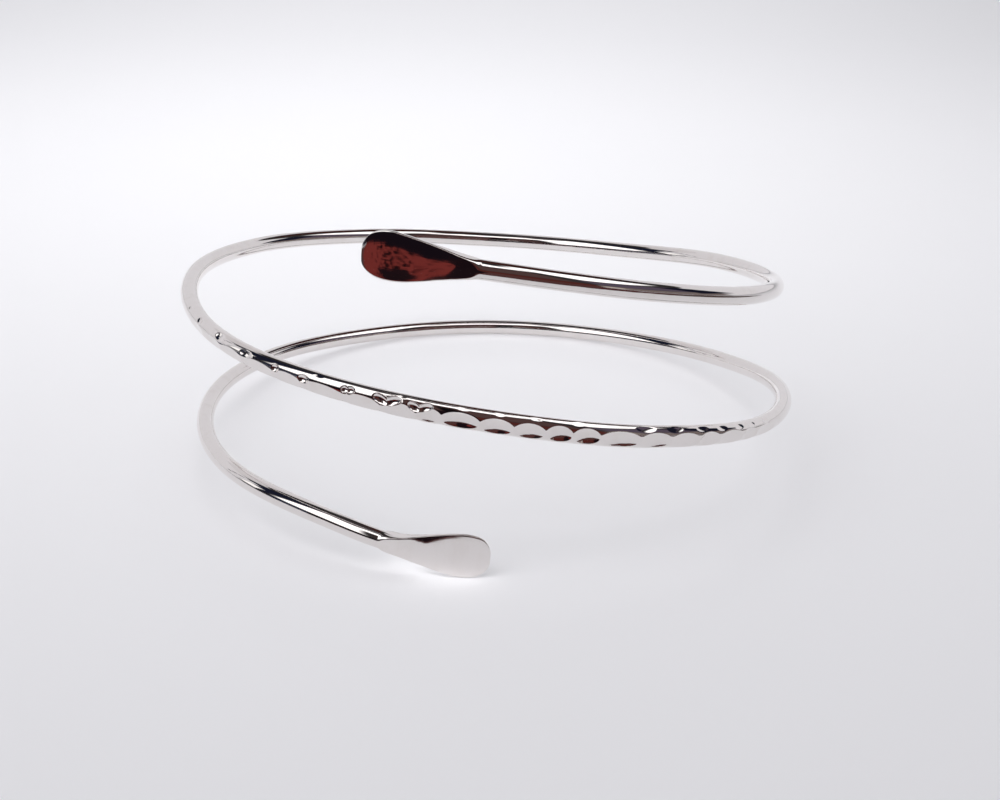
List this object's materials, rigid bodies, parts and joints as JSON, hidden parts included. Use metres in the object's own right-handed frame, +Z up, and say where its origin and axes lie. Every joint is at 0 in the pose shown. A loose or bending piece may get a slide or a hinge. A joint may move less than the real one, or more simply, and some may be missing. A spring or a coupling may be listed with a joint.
{
  "type": "upper arm cuff",
  "caption": "Open spiral upper arm cuff: one coiled length of polished silver wire, ends forged into flat teardrop paddles, front of the middle turn hammered in facets.",
  "frame": {"origin": "centre of the bounding box's footprint, on the table that the cuff stands on", "axes": "+Z up, along the arm; -Y towards the viewer, where both paddles and the hammered stretch are; +X to the viewer's right"},
  "size_m": [0.075, 0.074, 0.0377],
  "materials": {
    "silver": "polished sterling silver, with flat hammer marks along the front of the middle turn"
  },
  "bodies": {
    "root": {"arm_cuff": "silver"}
  },
  "joints": []
}
